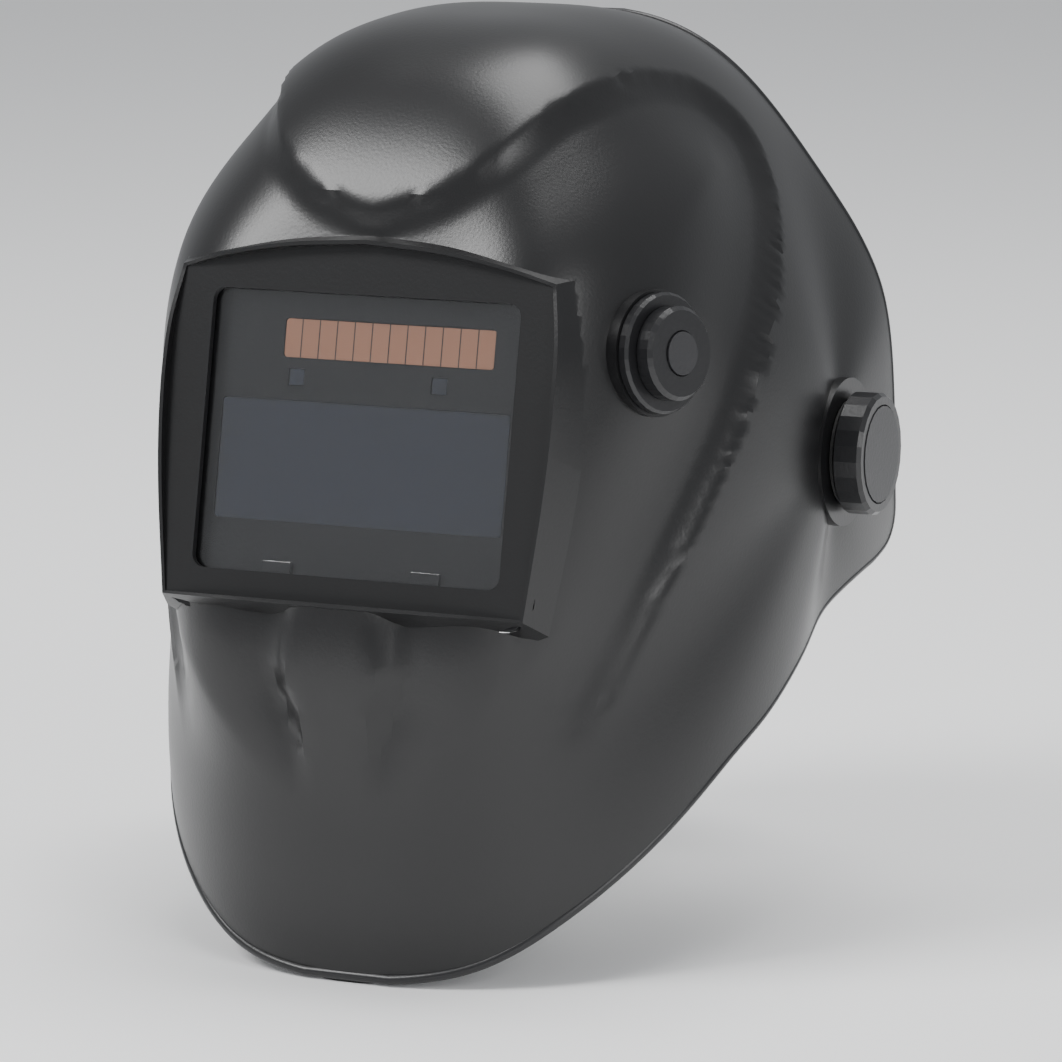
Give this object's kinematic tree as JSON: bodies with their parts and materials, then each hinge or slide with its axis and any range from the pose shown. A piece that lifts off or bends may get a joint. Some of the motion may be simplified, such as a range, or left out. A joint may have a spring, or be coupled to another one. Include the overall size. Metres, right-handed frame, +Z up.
{
  "type": "welding helmet",
  "caption": "Auto-darkening welding helmet: black moulded visor shell with a recessed filter window, outside shade knob, pivot tension knobs and ratchet headgear.",
  "frame": {"origin": "middle of the visor's pivot axis, between the two tension knobs", "axes": "+X to the wearer's left (the shade knob's side), -Y forward through the window, +Z up, with the visor down"},
  "size_m": [0.2626, 0.2966, 0.3214],
  "materials": {
    "shell_plastic": "fine grained satin black moulding",
    "trim_plastic": "black",
    "grey_plastic": "dark grey",
    "headgear_plastic": "flexible black strap plastic",
    "clear_lens": "clear polycarbonate",
    "dark_glass": "dark coated filter glass",
    "solar_cells": "copper-coloured cells",
    "rubber": "black",
    "steel": "zinc plated",
    "foam": "black cloth-covered foam"
  },
  "bodies": {
    "headgear": {"headband": "headgear_plastic", "sweatband": "foam", "rear_band_left": "headgear_plastic", "rear_band_right": "headgear_plastic", "ratchet_housing": "headgear_plastic", "ratchet_inner_cover": "headgear_plastic", "ratchet_detent": "steel", "nape_pad": "foam", "crown_strap_left": "headgear_plastic", "crown_strap_right": "headgear_plastic", "rear_strap_left": "headgear_plastic", "rear_strap_right": "headgear_plastic", "side_arm_left": "headgear_plastic", "side_arm_right": "headgear_plastic"},
    "carriage": {"slider_block_left": "headgear_plastic", "slider_block_right": "headgear_plastic", "pivot_bolt_left": "steel", "pivot_bolt_right": "steel", "tilt_limiter_left": "headgear_plastic", "tilt_limiter_right": "headgear_plastic"},
    "visor": {"helmet_shell": "shell_plastic", "cover_lens": "clear_lens", "lens_gasket": "rubber", "filter_clip_left": "trim_plastic", "filter_clip_right": "trim_plastic", "holder_frame": "trim_plastic", "frame_screw_1": "steel", "frame_screw_2": "steel", "frame_screw_3": "steel", "frame_screw_4": "steel", "filter_casing_front": "trim_plastic", "filter_casing_rear": "trim_plastic", "filter_glass": "dark_glass", "lcd_shutter": "dark_glass", "solar_panel": "solar_cells", "arc_sensor_left": "dark_glass", "arc_sensor_right": "dark_glass", "inner_cover_lens": "clear_lens", "shade_dial_ring": "trim_plastic", "shade_potentiometer": "steel", "shade_lead": "rubber", "friction_washer_left": "rubber", "friction_washer_right": "rubber", "battery_tray_left": "trim_plastic", "battery_left": "steel", "battery_tray_right": "trim_plastic", "battery_right": "steel"},
    "knob_left": {"tension_knob_left": "trim_plastic", "knob_cap_left": "grey_plastic"},
    "knob_right": {"tension_knob_right": "trim_plastic", "knob_cap_right": "grey_plastic"},
    "shade_control": {"shade_knob": "trim_plastic", "shade_shaft": "steel"},
    "mode_button": {"mode_button": "grey_plastic"},
    "sensitivity": {"sensitivity_dial": "grey_plastic"},
    "delay": {"delay_dial": "grey_plastic"},
    "test": {"test_button": "grey_plastic"},
    "ratchet": {"ratchet_pinion": "grey_plastic", "ratchet_knob": "grey_plastic"}
  },
  "joints": [
    {"name": "reach_slide", "type": "slide", "parent": "headgear", "child": "carriage", "axis": [0, 1, 0], "range_m": [-0.01, 0.01]},
    {"name": "visor_flip", "type": "hinge", "parent": "carriage", "child": "visor", "pos_m": [0, 0, 0], "axis": [-1, 0, 0], "range_deg": [0, 85]},
    {"name": "tension_knob_left_turn", "type": "hinge", "parent": "carriage", "child": "knob_left", "pos_m": [0.12, 0, 0], "axis": [1, 0, 0], "continuous": true},
    {"name": "tension_knob_right_turn", "type": "hinge", "parent": "carriage", "child": "knob_right", "pos_m": [-0.12, 0, 0], "axis": [-1, 0, 0], "continuous": true},
    {"name": "shade_knob_turn", "type": "hinge", "parent": "visor", "child": "shade_control", "pos_m": [0.0932, -0.1168, 0.0494], "axis": [0.9419, -0.3243, 0.0872], "range_deg": [-135, 135]},
    {"name": "mode_button_press", "type": "slide", "parent": "shade_control", "child": "mode_button", "axis": [-0.9419, 0.3243, -0.0872], "range_m": [0, 0.0009], "stiffness_N_per_m": 400, "springref_m": -0.002},
    {"name": "sensitivity_dial_turn", "type": "hinge", "parent": "visor", "child": "sensitivity", "pos_m": [0.038, -0.15059, 0.05811], "axis": [0, 0.9792, -0.2028], "range_deg": [-135, 135]},
    {"name": "delay_dial_turn", "type": "hinge", "parent": "visor", "child": "delay", "pos_m": [-0.038, -0.15059, 0.05811], "axis": [0, 0.9792, -0.2028], "range_deg": [-135, 135]},
    {"name": "test_button_press", "type": "slide", "parent": "visor", "child": "test", "axis": [0, -0.9792, 0.2028], "range_m": [0, 0.0009], "stiffness_N_per_m": 300, "springref_m": -0.002},
    {"name": "ratchet_knob_turn", "type": "hinge", "parent": "headgear", "child": "ratchet", "pos_m": [0, 0.08928, -0.01719], "axis": [0, 0.9157, -0.4019], "continuous": true}
  ]
}
